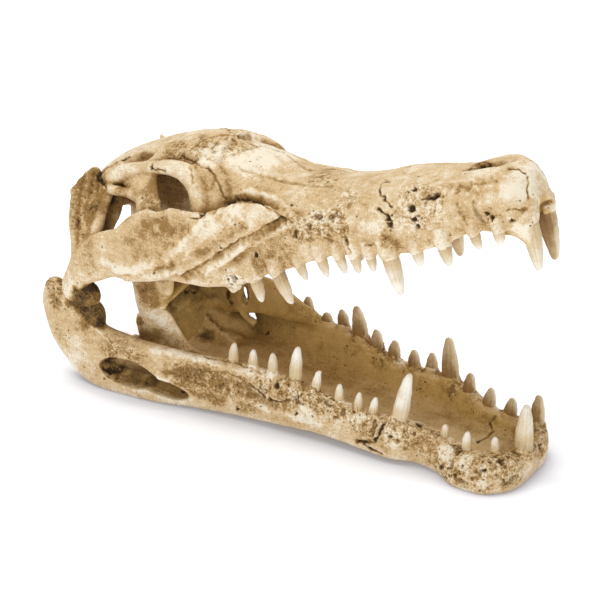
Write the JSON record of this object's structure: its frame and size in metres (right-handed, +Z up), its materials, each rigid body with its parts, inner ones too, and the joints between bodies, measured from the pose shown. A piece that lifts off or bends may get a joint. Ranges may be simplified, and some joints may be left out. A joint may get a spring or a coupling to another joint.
{
  "type": "crocodile skull ornament",
  "caption": "Cast resin ornament shaped as a crocodile skull, mouth held open, that rests on its lower jaw.",
  "frame": {"origin": "centre of the bounding box, on the level of the surface that the lower jaw rests on", "axes": "+X forward from the jaw joints to the snout, +Y to the animal's left side, +Z up"},
  "size_m": [0.2726, 0.103, 0.1597],
  "materials": {
    "resin_pale": "matt, dry-brushed ivory over tan, with brown left in pits and cracks",
    "resin_tan": "matt, tan with pale ridges and dark brown pits",
    "resin_brown": "matt olive brown, as inside the mouth"
  },
  "bodies": {
    "root": {"snout": "resin_pale", "skull_table": "resin_pale", "braincase": "resin_pale", "cheek_right": "resin_pale", "cheek_left": "resin_pale", "pterygoid": "resin_brown", "jaw_right": "resin_tan", "jaw_left": "resin_tan", "jaw_front": "resin_tan", "jaw_floor": "resin_brown"}
  },
  "joints": []
}
